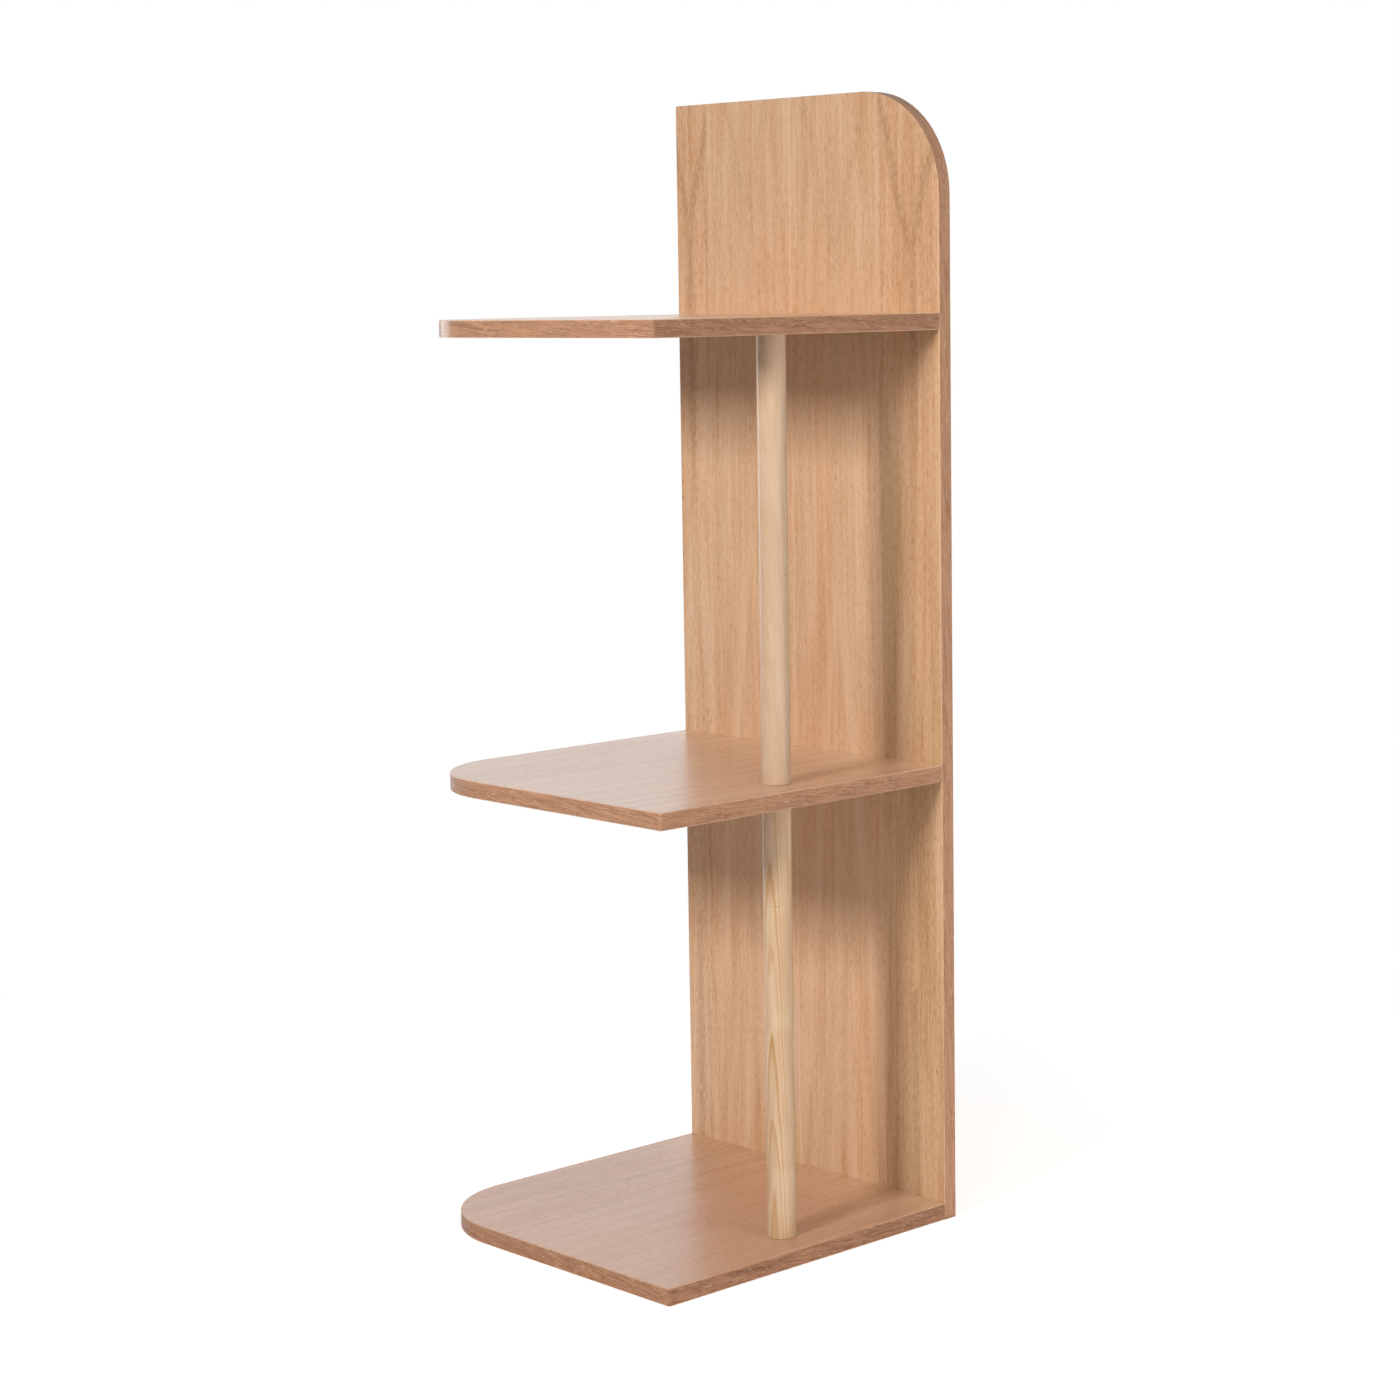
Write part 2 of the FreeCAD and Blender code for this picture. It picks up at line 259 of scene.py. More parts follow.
def oakColour(tree, across, along, rings, figure, flame, look):
    seed = look["seed"]
    band = grain(tree, across, along, look["bandSize"], seed + oakSeeds["band"])
    streak = grain(tree, across, along, look["streakSize"], seed + oakSeeds["streak"], detail=2.0,
                   rough=oakLook["streakRough"])
    line = grain(tree, across, along, oakLook["lineSize"], seed + oakSeeds["line"])
    fleck = grain(tree, across, along, oakLook["fleckSize"], seed + oakSeeds["fleck"])
    pore = grain(tree, across, along, oakLook["poreSize"], seed + oakSeeds["pore"])
    ray = grain(tree, across, along, oakLook["raySize"], seed + oakSeeds["ray"])
    tone = grain(tree, across, along, oakLook["toneSize"], seed + oakSeeds["tone"])
    rings = times(tree, rings, fade(tree, fleck, *oakLook["ringFade"], 1.0 - look["ringBreak"], 1.0))
    pores = fade(tree, total(tree, pore, times(tree, rings, oakLook["poresOnRings"])), *oakLook["poreFade"])
    dashShow = maths(tree, "MULTIPLY_ADD", total(tree, rings, figure), look["dash"], oakLook["dashShow"])
    dark = total(
        tree,
        look["shade"],
        swing(tree, band, maths(tree, "MULTIPLY_ADD", figure, oakLook["bandFigure"], look["bandShow"])),
        swing(tree, flame, look["flameShow"]),
        swing(tree, streak, maths(tree, "MULTIPLY_ADD", figure, *oakLook["streakShow"])),
        swing(tree, line, maths(tree, "MULTIPLY_ADD", figure, *oakLook["lineShow"])),
        swing(tree, fleck, maths(tree, "MULTIPLY_ADD", figure, *oakLook["fleckShow"])),
        times(tree, fade(tree, fleck, *oakLook["dashFade"]), dashShow),
        times(tree, pores, oakLook["poreShow"]),
    )
    dark = limited(tree, dark)
    colour = mixColour(tree, dark, oakLook["pale"], oakLook["dark"])
    colour = mixColour(tree, times(tree, rings, look["ringShow"]), colour, oakLook["ring"])
    flamePale = fade(tree, flame, *oakLook["flameFade"], 0.0, look["flamePale"])
    colour = mixColour(tree, flamePale, colour, oakLook["ray"])
    rayShow = maths(tree, "MULTIPLY_ADD", rings, *oakLook["rayShow"])
    rays = times(tree, fade(tree, ray, *oakLook["rayFade"]), rayShow)
    colour = mixColour(tree, rays, colour, oakLook["ray"])
    rosy = times(tree, fade(tree, tone, *oakLook["toneFade"]), look["rosiness"])
    colour = mixColour(tree, rosy, colour, oakLook["rosy"], "MULTIPLY")
    colour = mixColour(tree, 1.0, colour, look["tint"], "MULTIPLY")
    return colour, dark, pores


def oakVeneer(name, look):
    material, tree, shader = startMaterial(name)
    place = placeInMillimetres(tree)
    plainAcross = place[look["acrossAxis"]]
    plainAlong = place[look["alongAxis"]]
    drift = grain(tree, plainAcross, plainAlong, oakLook["driftSize"], look["seed"])
    drift = swing(tree, drift, oakLook["drift"])
    if "bookAt" in look:  # leaves opened like a book about the seam
        offset = minus(tree, plainAcross, look["bookAt"])
        right = maths(tree, "GREATER_THAN", offset, 0.0)
        across = maths(tree, "ADD", maths(tree, "ABSOLUTE", offset), drift)
        along = maths(tree, "MULTIPLY_ADD", right, look["slip"], plainAlong)
        rings, figure, flame = archedFigure(tree, across, along, right, look)
    else:
        across = maths(tree, "ADD", plainAcross, drift)
        along = plainAlong
        rings, figure, flame = linedFigure(tree, across, along, look)
    colour, dark, pores = oakColour(tree, across, along, rings, figure, flame, look)
    for seam, (low, high), show in look["seams"]:  # each leaf to the right of a seam is a little yellower
        yellow = fade(tree, plainAlong, *oakLook["amberFade"], high, low)
        leaf = times(tree, maths(tree, "GREATER_THAN", plainAcross, seam), yellow)
        colour = mixColour(tree, leaf, colour, oakLook["amber"], "MULTIPLY")
        gap = maths(tree, "ABSOLUTE", minus(tree, plainAcross, seam))
        colour = mixColour(tree, fade(tree, gap, *oakLook["seamFade"], 0.0, show), colour, oakLook["seam"])
    if "paintedBounceFade" in look:  # painted bounce light: paler toward the panel, standing in for light thrown back off it
        paintedBounce = fade(tree, plainAlong, *look["paintedBounceFade"])
        colour = mixColour(tree, paintedBounce, colour, look["paintedBounceTint"], "MULTIPLY")
    for speckAcross, speckAlong, radius in look["specks"]:
        a = minus(tree, plainAcross, speckAcross)
        b = times(tree, minus(tree, plainAlong, speckAlong), oakLook["speckSquash"])
        core = oakLook["speckCore"] * radius
        speck = fade(tree, lengthOf(tree, a, b), radius, core, 0.0, oakLook["speckShow"])
        colour = mixColour(tree, speck, colour, oakLook["speck"])
    tree.links.new(colour, shader.inputs["Base Color"])
    roughness = total(tree, oakLook["gloss"], times(tree, pores, oakLook["poreGloss"]),
                      times(tree, dark, oakLook["darkGloss"]))
    tree.links.new(roughness, shader.inputs["Roughness"])
    shader.inputs["Specular IOR Level"].default_value = look["specular"]
    shader.inputs["Coat Weight"].default_value = look["coat"]
    shader.inputs["Coat Roughness"].default_value = look["coatRoughness"]
    relief = total(tree, times(tree, pores, -1.0), times(tree, dark, -oakLook["darkDepth"]))
    tree.links.new(bumpOf(tree, relief, oakLook["poreDepth"], oakLook["bump"]), shader.inputs["Normal"])
    return material


panelFront = {
    "acrossAxis": 0, "alongAxis": 2, "seed": 1.7, "bookAt": -19.0, "slip": 50.0, "leafWidth": 131.0,
    "innerHeart": 67.0, "outerHeart": 160.0, "heartShift": 18.0,
    "archTip": 1090.0, "archSpacing": 800.0, "archSlope": 0.32, "archWander": 70.0,
    "wanderSize": (45.0, 170.0), "armWidth": 10.0, "armsFrom": (900.0, 1020.0), "stemFade": (0.40, 0.95),
    "bandSize": (11.0, 480.0), "streakSize": (4.2, 240.0), "flameSize": (16.0, 480.0),
    "figure": 0.85, "calm": 0.28, "ringShow": 0.80, "ringBreak": 0.55, "dash": 0.13,
    "flameLean": 0.12, "flameShow": 0.32, "flamePale": 0.14,
    "shade": 0.20, "bandShow": 0.15, "rosiness": 0.8, "tint": untinted,
    "seams": ((-150.0, (0.1, 0.1), 0.12), (-19.0, (0.15, 0.1), 0.5), (114.0, (0.9, 0.0), 0.12)),
    "specks": ((-176.0, 833.0, 1.3), (190.0, 160.0, 1.2)),
    "specular": 0.2, "coat": 0.0, "coatRoughness": 0.3,
}
panelRear = dict(
    panelFront, seed=11.3, bookAt=31.0, ringShow=0.55, specks=(),
    seams=((-100.0, (0.3, 0.3), 0.3), (31.0, (0.1, 0.1), 0.4), (162.0, (0.2, 0.2), 0.2)),
)
dress(oakVeneer("panelFrontOak", panelFront), "panel_front_veneer")
dress(oakVeneer("panelRearOak", panelRear), "panel_rear_veneer")

shelfOak = {
    "acrossAxis": 0, "alongAxis": 1, "wanderSize": (900.0, 700.0), "lineWander": 150.0, "lineWidth": 9.0,
    "lineRise": (0.0, 0.25), "lineFall": (0.95, 0.30), "figureAt": -105.0, "figureFade": (110.0, 38.5),
    "bandSize": (9.0, 420.0), "streakSize": (3.2, 160.0), "flameSize": (26.0, 600.0),
    "figure": 0.62, "calm": 0.20, "ringShow": 0.28, "ringBreak": 0.35, "dash": 0.08, "shade": 0.20,
    "bandShow": 0.34, "flameShow": 0.25, "flamePale": 0.0, "rosiness": 0.9, "seams": (), "specks": (),
    "specular": 0.5, "coat": 0.85, "coatRoughness": 0.27,
}
shelfTops = {  # heartAt is where the heart of each shelf's leaf lies
    # the tints hold each shelf's own tone together with painted light and painted reflection: the bottom top
    # is painted darker, the middle one bluer, the top one paler and warmer
    "bottom": {"heartAt": 330.0, "seed": 21.0, "tint": (0.82, 0.72, 0.735, 1.0),
               "specks": ((86.0, -87.0, 1.3), (-36.0, 116.0, 1.6))},
    "middle": {"heartAt": 290.0, "seed": 28.0, "tint": (0.98, 0.935, 1.01, 1.0)},
    "top": {"heartAt": -310.0, "seed": 35.0, "tint": (1.10, 0.995, 0.965, 1.0)},
}
# painted bounce light: the shelf tops are painted paler toward the panel, for the light thrown back off it
shelfPaintedBounce = {"paintedBounceFade": (60.0, 195.0), "paintedBounceTint": (1.25, 1.40, 1.40, 1.0)}
shelfUnderside = {"seedStep": 32.0, "tint": (1.0, 0.965, 0.945, 1.0)}
for level, look in shelfTops.items():
    topLook = {**shelfOak, **shelfPaintedBounce, **look}
    underLook = dict(shelfOak, heartAt=-look["heartAt"], seed=look["seed"] + shelfUnderside["seedStep"],
                     tint=shelfUnderside["tint"])
    dress(oakVeneer(level + "ShelfTopOak", topLook), level + "_shelf_top_veneer")
    dress(oakVeneer(level + "ShelfUndersideOak", underLook), level + "_shelf_underside_veneer")
print("oak veneers laid")


# solid lippings round the boards, a redder oak with its grain along the band

lippingLook = {
    "pale": (0.420, 0.214, 0.112, 1.0),
    "dark": (0.160, 0.060, 0.024, 1.0),
    "fleck": (0.570, 0.375, 0.250, 1.0),
    "worn": (0.560, 0.330, 0.190, 1.0),
    "bend": 110.0,  # outer radius of the bent corners
    "drift": 8.0,
    "driftSize": (40.0, 90.0),
    "bandSize": (4.5, 70.0),
    "streakSize": (1.3, 32.0),
    "streakRough": 0.6,
    "poreSize": (0.8, 9.0),
    "fleckSize": (0.9, 8.0),
    "lean": 0.09,  # how far the fibres run out of the band
    "bandShow": 0.85,
    "streakShow": 1.5,
    "poreShow": 0.34,
    "poreFade": (0.56, 0.70),
    "fleckFade": (0.58, 0.70),
    "fleckOnBand": (0.40, 0.60, 0.15, 0.55),
    "rubbedFade": (7.4, 8.4),  # mm from the middle of the edge
    "rubbedOnBand": (0.35, 0.65, 0.15, 0.45),
    "gloss": 0.40,
    "poreGloss": 0.10,
    "streakGloss": 0.08,
    "coat": 0.7,
    "coatRoughness": 0.20,
    "poreDepth": 0.00002,
    "streakDepth": 0.5,
    "bump": 0.6,
}
lippingSeeds = {"band": 1.1, "streak": 2.3, "pore": 3.9, "fleck": 5.5}


def lippingCoordinates(tree, look):
    place = placeInMillimetres(tree)
    width = place[look["widthAxis"]]
    if "bendAt" not in look:
        return place[look["alongAxis"]], width
    first, second = look["bendAxes"]
    side = look["bendSide"]
    a = times(tree, minus(tree, place[first], look["bendAt"][0]), side)
    b = times(tree, minus(tree, place[second], look["bendAt"][1]), side)
    aIn = times(tree, maths(tree, "MINIMUM", a, 0.0), -1.0)
    bIn = times(tree, maths(tree, "MINIMUM", b, 0.0), -1.0)
    swept = times(tree, maths(tree, "ARCTAN2", bIn, aIn), lippingLook["bend"])
    pastA = maths(tree, "MAXIMUM", a, 0.0)
    pastB = times(tree, maths(tree, "MAXIMUM", b, 0.0), -1.0)
    return total(tree, swept, pastA, pastB), width


def oakLipping(name, look):
    material, tree, shader = startMaterial(name)
    along, width = lippingCoordinates(tree, look)
    seed = look["seed"]
    drift = grain(tree, width, along, lippingLook["driftSize"], seed, detail=2.0)
    drift = swing(tree, drift, lippingLook["drift"])
    across = total(tree, width, drift, times(tree, along, lippingLook["lean"]))
    band = grain(tree, across, along, lippingLook["bandSize"], seed + lippingSeeds["band"])
    streak = grain(tree, across, along, lippingLook["streakSize"], seed + lippingSeeds["streak"], detail=2.0,
                   rough=lippingLook["streakRough"])
    pore = grain(tree, across, along, lippingLook["poreSize"], seed + lippingSeeds["pore"])
    fleck = grain(tree, across, along, lippingLook["fleckSize"], seed + lippingSeeds["fleck"])
    pores = fade(tree, pore, *lippingLook["poreFade"])
    flecks = times(tree, fade(tree, fleck, *lippingLook["fleckFade"]),
                   fade(tree, band, *lippingLook["fleckOnBand"]))
    dark = total(tree, look["shade"], swing(tree, band, lippingLook["bandShow"]),
                 swing(tree, streak, lippingLook["streakShow"]),
                 times(tree, pores, lippingLook["poreShow"]))
    dark = limited(tree, dark)
    colour = mixColour(tree, dark, lippingLook["pale"], lippingLook["dark"])
    colour = mixColour(tree, flecks, colour, lippingLook["fleck"])
    # the rounded arrises are rubbed a little paler
    offCentre = maths(tree, "ABSOLUTE", minus(tree, width, look["centre"]))
    rubbed = times(tree, fade(tree, offCentre, *lippingLook["rubbedFade"]),
                   fade(tree, band, *lippingLook["rubbedOnBand"]))
    colour = mixColour(tree, rubbed, colour, lippingLook["worn"])
    colour = mixColour(tree, 1.0, colour, look["tint"], "MULTIPLY")
    tree.links.new(colour, shader.inputs["Base Color"])
    roughness = total(tree, lippingLook["gloss"], times(tree, pores, lippingLook["poreGloss"]),
                      swing(tree, streak, lippingLook["streakGloss"]))
    tree.links.new(roughness, shader.inputs["Roughness"])
    shader.inputs["Specular IOR Level"].default_value = 0.0  # the lacquer coat alone reflects
    shader.inputs["Coat Weight"].default_value = look.get("coat", lippingLook["coat"])
    shader.inputs["Coat Roughness"].default_value = lippingLook["coatRoughness"]
    relief = total(tree, times(tree, pores, -1.0), times(tree, streak, -lippingLook["streakDepth"]))
    bump = bumpOf(tree, relief, lippingLook["poreDepth"], lippingLook["bump"])
    tree.links.new(bump, shader.inputs["Normal"])
    return material


def middleOf(name, axis):
    low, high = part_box(name)
    return 0.5 * (low[axis] + high[axis]) * toMillimetres


panelMiddle = middleOf("panel_core", 1)
# painted light and painted reflection: the contour lipping's tint makes it paler and bluer than the other
# lippings, standing in for more light from the right and for the sheen of its lacquer
panelBend = {
    "bendAxes": (0, 2), "bendAt": (90.0, 1090.0), "bendSide": -1.0, "widthAxis": 1, "centre": panelMiddle,
    "seed": 71.0, "shade": 0.14, "tint": (1.08, 1.13, 1.25, 1.0), "coat": 0.3,
}
panelUpright = {
    "alongAxis": 2, "widthAxis": 1, "centre": panelMiddle, "seed": 74.0, "shade": 0.26, "tint": untinted,
}
panelSole = {
    "alongAxis": 0, "widthAxis": 1, "centre": panelMiddle, "seed": 77.0, "shade": 0.30, "tint": untinted,
}
dress(oakLipping("panelContourLipping", panelBend), "panel_contour_lipping")
dress(oakLipping("panelLeftLipping", panelUpright), "panel_left_lipping")
dress(oakLipping("panelFootLipping", panelSole), "panel_foot_lipping")

shelfBend = {
    "bendAxes": (0, 1), "bendAt": (-90.0, -99.0), "bendSide": 1.0, "widthAxis": 2,
    "tint": (1.02, 1.02, 1.05, 1.0),
}
shelfSide = {"alongAxis": 1, "widthAxis": 2, "tint": (1.0, 0.99, 1.0, 1.0)}
shelfLippings = {  # seed and shade of the front band and of the right one
    "bottom": ((81.0, 0.45), (97.0, 0.54)),
    "middle": ((86.0, 0.32), (102.0, 0.24)),
    "top": ((91.0, 0.27), (107.0, 0.42)),
}
for level, ((frontSeed, frontShade), (rightSeed, rightShade)) in shelfLippings.items():
    shelfMiddle = middleOf(level + "_shelf_core", 2)
    frontLook = dict(shelfBend, centre=shelfMiddle, seed=frontSeed, shade=frontShade)
    rightLook = dict(shelfSide, centre=shelfMiddle, seed=rightSeed, shade=rightShade)
    dress(oakLipping(level + "ContourLipping", frontLook), level + "_shelf_contour_lipping")
    dress(oakLipping(level + "RightLipping", rightLook), level + "_shelf_right_lipping")
print("lippings finished")


# turned posts of pale ash, cut out of the solid so that the rings run through them

ashLook = {
    "pale": (0.515, 0.360, 0.242, 1.0),
    "cream": (0.578, 0.432, 0.317, 1.0),
    "ring": (0.400, 0.215, 0.088, 1.0),
    "speck": (0.200, 0.100, 0.050, 1.0),
    "shade": 0.12,
    "wanderAcross": 60.0,
    "streakSize": (1.3, 55.0),
    "poreSize": (0.45, 9.0),
    "creamSize": (9.0, 60.0),
    "ringRise": (0.0, 0.06),  # shares of a ring's width
    "ringPeak": 0.08,
    "yearFade": (0.25, 0.75),
    "yearSlice": 0.5,
    "poreFade": (0.58, 0.72),
    "creamFade": (0.42, 0.62),
    "streakShow": 0.34,
    "poreShow": 0.14,
    "speckCore": 0.3,
    "gloss": 0.40,
    "darkGloss": 0.10,
    "poreDepth": 0.00001,
    "bump": 0.5,
}
ashSeeds = {"streak": 2.2, "pore": 4.4, "cream": 6.1}


def ashPost(name, look):
    material, tree, shader = startMaterial(name)
    x, y, z = placeInMillimetres(tree)
    seed = look["seed"]
    bearing = math.radians(look["pithBearing"])
    a = minus(tree, x, look["axis"][0] + look["pithDistance"] * math.sin(bearing))
    b = minus(tree, y, look["axis"][1] - look["pithDistance"] * math.cos(bearing))
    wanderX, wanderY = (maths(tree, "DIVIDE", value, ashLook["wanderAcross"]) for value in (x, y))
    wanderZ = maths(tree, "MULTIPLY_ADD", z, 1.0 / look["waveLength"], seed)
    wander = noise(tree, joinXyz(tree, wanderX, wanderY, wanderZ))
    radius = total(tree, lengthOf(tree, a, b), swing(tree, wander, look["wave"]),
                   times(tree, z, look["slope"]))
    turns = maths(tree, "DIVIDE", radius, look["ringWidth"])
    inRing = maths(tree, "FRACT", turns)
    porous = times(tree, fade(tree, inRing, *ashLook["ringRise"]),
                   fade(tree, inRing, look["ringEnd"], ashLook["ringPeak"]))
    tangent = times(tree, maths(tree, "ARCTAN2", b, a), look["pithDistance"])
    outward = maths(tree, "ADD", radius, tangent)
    inward = minus(tree, radius, tangent)
    streak = grain(tree, outward, z, ashLook["streakSize"], seed + ashSeeds["streak"], detail=2.0)
    pore = grain(tree, inward, z, ashLook["poreSize"], seed + ashSeeds["pore"])
    patch = grain(tree, outward, z, ashLook["creamSize"], seed + ashSeeds["cream"], detail=2.0)
    year = noise(tree, joinXyz(tree, maths(tree, "FLOOR", turns), seed, ashLook["yearSlice"]), detail=0.0)
    pores = fade(tree, pore, *ashLook["poreFade"])
    ringShow = fade(tree, year, *ashLook["yearFade"], *look["ringShow"])
    dark = total(tree, ashLook["shade"], times(tree, porous, ringShow),
                 swing(tree, streak, ashLook["streakShow"]), times(tree, pores, ashLook["poreShow"]))
    dark = limited(tree, dark)
    creamy = fade(tree, patch, *ashLook["creamFade"], 0.0, look["creamShow"])
    colour = mixColour(tree, creamy, ashLook["pale"], ashLook["cream"])
    colour = mixColour(tree, dark, colour, ashLook["ring"])
    colour = mixColour(tree, 1.0, colour, look["tint"], "MULTIPLY")
    for spot in look["specks"]:
        offsets = [minus(tree, value, centre) for value, centre in zip((x, y, z), spot["at"])]
        offsets[2] = times(tree, offsets[2], spot["squash"])
        core = ashLook["speckCore"] * spot["radius"]
        speck = fade(tree, lengthOf(tree, *offsets), spot["radius"], core, 0.0, spot["show"])
        colour = mixColour(tree, speck, colour, ashLook["speck"])
    tree.links.new(colour, shader.inputs["Base Color"])
    roughness = maths(tree, "MULTIPLY_ADD", dark, ashLook["darkGloss"], ashLook["gloss"])
    tree.links.new(roughness, shader.inputs["Roughness"])
    shader.inputs["Specular IOR Level"].default_value = 0.0
    shader.inputs["Coat Weight"].default_value = look["coat"]
    shader.inputs["Coat Roughness"].default_value = look["coatRoughness"]
    relief = times(tree, total(tree, dark, pores), -1.0)
    tree.links.new(bumpOf(tree, relief, ashLook["poreDepth"], ashLook["bump"]), shader.inputs["Normal"])
    return material


postAxis = (middleOf("lower_post", 0), middleOf("lower_post", 1))
lowerPost = {
    "axis": postAxis, "pithBearing": 194.0, "pithDistance": 70.0, "ringWidth": 1.9, "ringEnd": 0.55,
    "slope": -0.021, "wave": 3.5, "waveLength": 150.0, "ringShow": (0.30, 0.80), "creamShow": 0.8,
    "seed": 3.1, "coat": 0.65, "coatRoughness": 0.14, "tint": (1.0, 0.985, 0.90, 1.0),
    "specks": ({"at": (164.0, -20.0, 368.0), "radius": 6.0, "squash": 6.0, "show": 0.35},),
}
upperPost = {
    "axis": postAxis, "pithBearing": 130.0, "pithDistance": 80.0, "ringWidth": 2.4, "ringEnd": 0.60,
    "slope": -0.070, "wave": 12.0, "waveLength": 260.0, "ringShow": (0.12, 0.40), "creamShow": 0.5,
    "seed": 6.4, "coat": 0.55, "coatRoughness": 0.20, "tint": untinted,
    "specks": ({"at": (169.8, -6.5, 707.7), "radius": 1.4, "squash": 1.0, "show": 0.8},),
}
dress(ashPost("lowerPostAsh", lowerPost), "lower_post")
dress(ashPost("upperPostAsh", upperPost), "upper_post")
print("posts finished")


# hidden board cores, dowels and fittings

coreLook = {
    "pale": (0.47, 0.33, 0.20, 1.0), "dark": (0.22, 0.135, 0.075, 1.0),
    "chip": 1.6, "detail": 4.0, "rough": 0.65, "chipFade": (0.35, 0.68),
    "gloss": 0.75, "chipGloss": 0.15, "chipDepth": 0.0003, "bump": 0.5,
}
dowelLook = {
    "pale": (0.62, 0.42, 0.25, 1.0), "dark": (0.40, 0.22, 0.11, 1.0), "shade": 0.25,
    "streakSize": (0.8, 14.0), "streakSeed": 4.0, "streakShow": 0.8,
    "fleckSize": (0.4, 3.0), "fleckSeed": 9.0, "fleckFade": (0.58, 0.70), "fleckShow": 0.35,
    "gloss": 0.5, "streakGloss": 0.2, "streakDepth": 0.0001, "bump": 0.5,
}
metalLook = {
    "fineRough": 0.6, "fineDetail": 3.0, "fineShow": 0.7, "patchSize": 9.0, "patchFade": (0.35, 0.65),
    "dullGloss": 0.16, "bump": 0.4,
}


def fibreBoard(name):
    material, tree, shader = startMaterial(name)
    place = placeInMillimetres(tree)
    chips = evenNoise(tree, place, coreLook["chip"], coreLook["detail"], coreLook["rough"])
    shade = fade(tree, chips, *coreLook["chipFade"])
    tree.links.new(mixColour(tree, shade, coreLook["pale"], coreLook["dark"]), shader.inputs["Base Color"])
    roughness = maths(tree, "MULTIPLY_ADD", shade, coreLook["chipGloss"], coreLook["gloss"])
    tree.links.new(roughness, shader.inputs["Roughness"])
    tree.links.new(bumpOf(tree, chips, coreLook["chipDepth"], coreLook["bump"]), shader.inputs["Normal"])
    return material


def beechDowel(name):
    material, tree, shader = startMaterial(name)
    x, y, z = placeInMillimetres(tree)
    around = maths(tree, "ADD", x, z)
    streak = grain(tree, around, y, dowelLook["streakSize"], dowelLook["streakSeed"], detail=2.0)
    fleck = grain(tree, x, y, dowelLook["fleckSize"], dowelLook["fleckSeed"], detail=2.0)
    flecks = times(tree, fade(tree, fleck, *dowelLook["fleckFade"]), dowelLook["fleckShow"])
    dark = total(tree, dowelLook["shade"], swing(tree, streak, dowelLook["streakShow"]), flecks)
    dark = limited(tree, dark)
    tree.links.new(mixColour(tree, dark, dowelLook["pale"], dowelLook["dark"]), shader.inputs["Base Color"])
    roughness = maths(tree, "MULTIPLY_ADD", streak, dowelLook["streakGloss"], dowelLook["gloss"])
    tree.links.new(roughness, shader.inputs["Roughness"])
    bump = bumpOf(tree, streak, dowelLook["streakDepth"], dowelLook["bump"])
    tree.links.new(bump, shader.inputs["Normal"])
    return material


def metal(name, look):
    material, tree, shader = startMaterial(name)
    place = placeInMillimetres(tree)
    fine = evenNoise(tree, place, look["speckle"], metalLook["fineDetail"], metalLook["fineRough"])
    broad = evenNoise(tree, place, metalLook["patchSize"])
    patches = fade(tree, broad, *metalLook["patchFade"])
    shade = total(tree, swing(tree, fine, metalLook["fineShow"]), patches)
    shade = limited(tree, shade)
    tree.links.new(mixColour(tree, shade, look["bright"], look["dull"]), shader.inputs["Base Color"])
    shader.inputs["Metallic"].default_value = 1.0
    roughness = maths(tree, "MULTIPLY_ADD", shade, metalLook["dullGloss"], look["gloss"])
    tree.links.new(roughness, shader.inputs["Roughness"])
    tree.links.new(bumpOf(tree, fine, look["grainDepth"], metalLook["bump"]), shader.inputs["Normal"])
    return material


castZinc = {
    "bright": (0.66, 0.66, 0.67, 1.0), "dull": (0.46, 0.46, 0.48, 1.0),
    "speckle": 0.35, "gloss": 0.34, "grainDepth": 0.00005,
}
platedSteel = {
    "bright": (0.74, 0.73, 0.70, 1.0), "dull": (0.55, 0.53, 0.48, 1.0),
    "speckle": 0.25, "gloss": 0.24, "grainDepth": 0.00002,
}
brassInsert = {
    "bright": (0.80, 0.62, 0.30, 1.0), "dull": (0.58, 0.42, 0.18, 1.0),
    "speckle": 0.3, "gloss": 0.28, "grainDepth": 0.00002,
}
dress(fibreBoard("boardCore"), "panel_core", *(level + "_shelf_core" for level in shelfTops))
dress(beechDowel("beechDowel"), "dowels")
camNames = [level + side for level in shelfTops for side in ("_left_cam", "_right_cam")]
dress(metal("castZinc", castZinc), *camNames)
dress(metal("platedSteel", platedSteel), "cam_bolts", "middle_stud", "top_stud", "bottom_bolt")
dress(metal("brassInsert", brassInsert), "post_inserts", "top_shelf_insert")
print("cores and fittings finished")


# pale floor, white surround and soft lights

stageLook = {
    "floorHalf": 6.0,
    "floorDrop": 0.0005,
    "nearColour": (0.95, 0.95, 0.95, 1.0),
    "farColour": (0.30, 0.30, 0.30, 1.0),  # little light comes back from the far floor
    "farFade": (800.0, 1400.0),  # mm from the middle
    "floorLift": 0.38,  # brings the unshadowed floor up to white
    "whiteFade": (350.0, 1500.0),
    "domeColour": (1.0, 1.0, 1.0, 1.0),
    "domeStrength": 0.16,
    "bendAt": (-90.0, -99.0),  # centre and radius of the bottom shelf's round corner
    "bend": 110.0,
    "inset": 3.0,
}


def seenDirectly(tree):  # one for camera, glossy and transmission rays, and one for camera rays alone
    path = tree.nodes.new("ShaderNodeLightPath")
    inView = path.outputs["Is Camera Ray"]
    seen = maths(tree, "MAXIMUM", inView, path.outputs["Is Glossy Ray"])
    return maths(tree, "MAXIMUM", seen, path.outputs["Is Transmission Ray"]), inView


def mixShaders(tree, share, first, second):
    node = tree.nodes.new("ShaderNodeMixShader")
    wire(tree, share, node.inputs[0])
    tree.links.new(first, node.inputs[1])
    tree.links.new(second, node.inputs[2])
    return node.outputs[0]


def emission(tree, strength):
    node = tree.nodes.new("ShaderNodeEmission")
    wire(tree, strength, node.inputs["Strength"])
    return node.outputs[0]


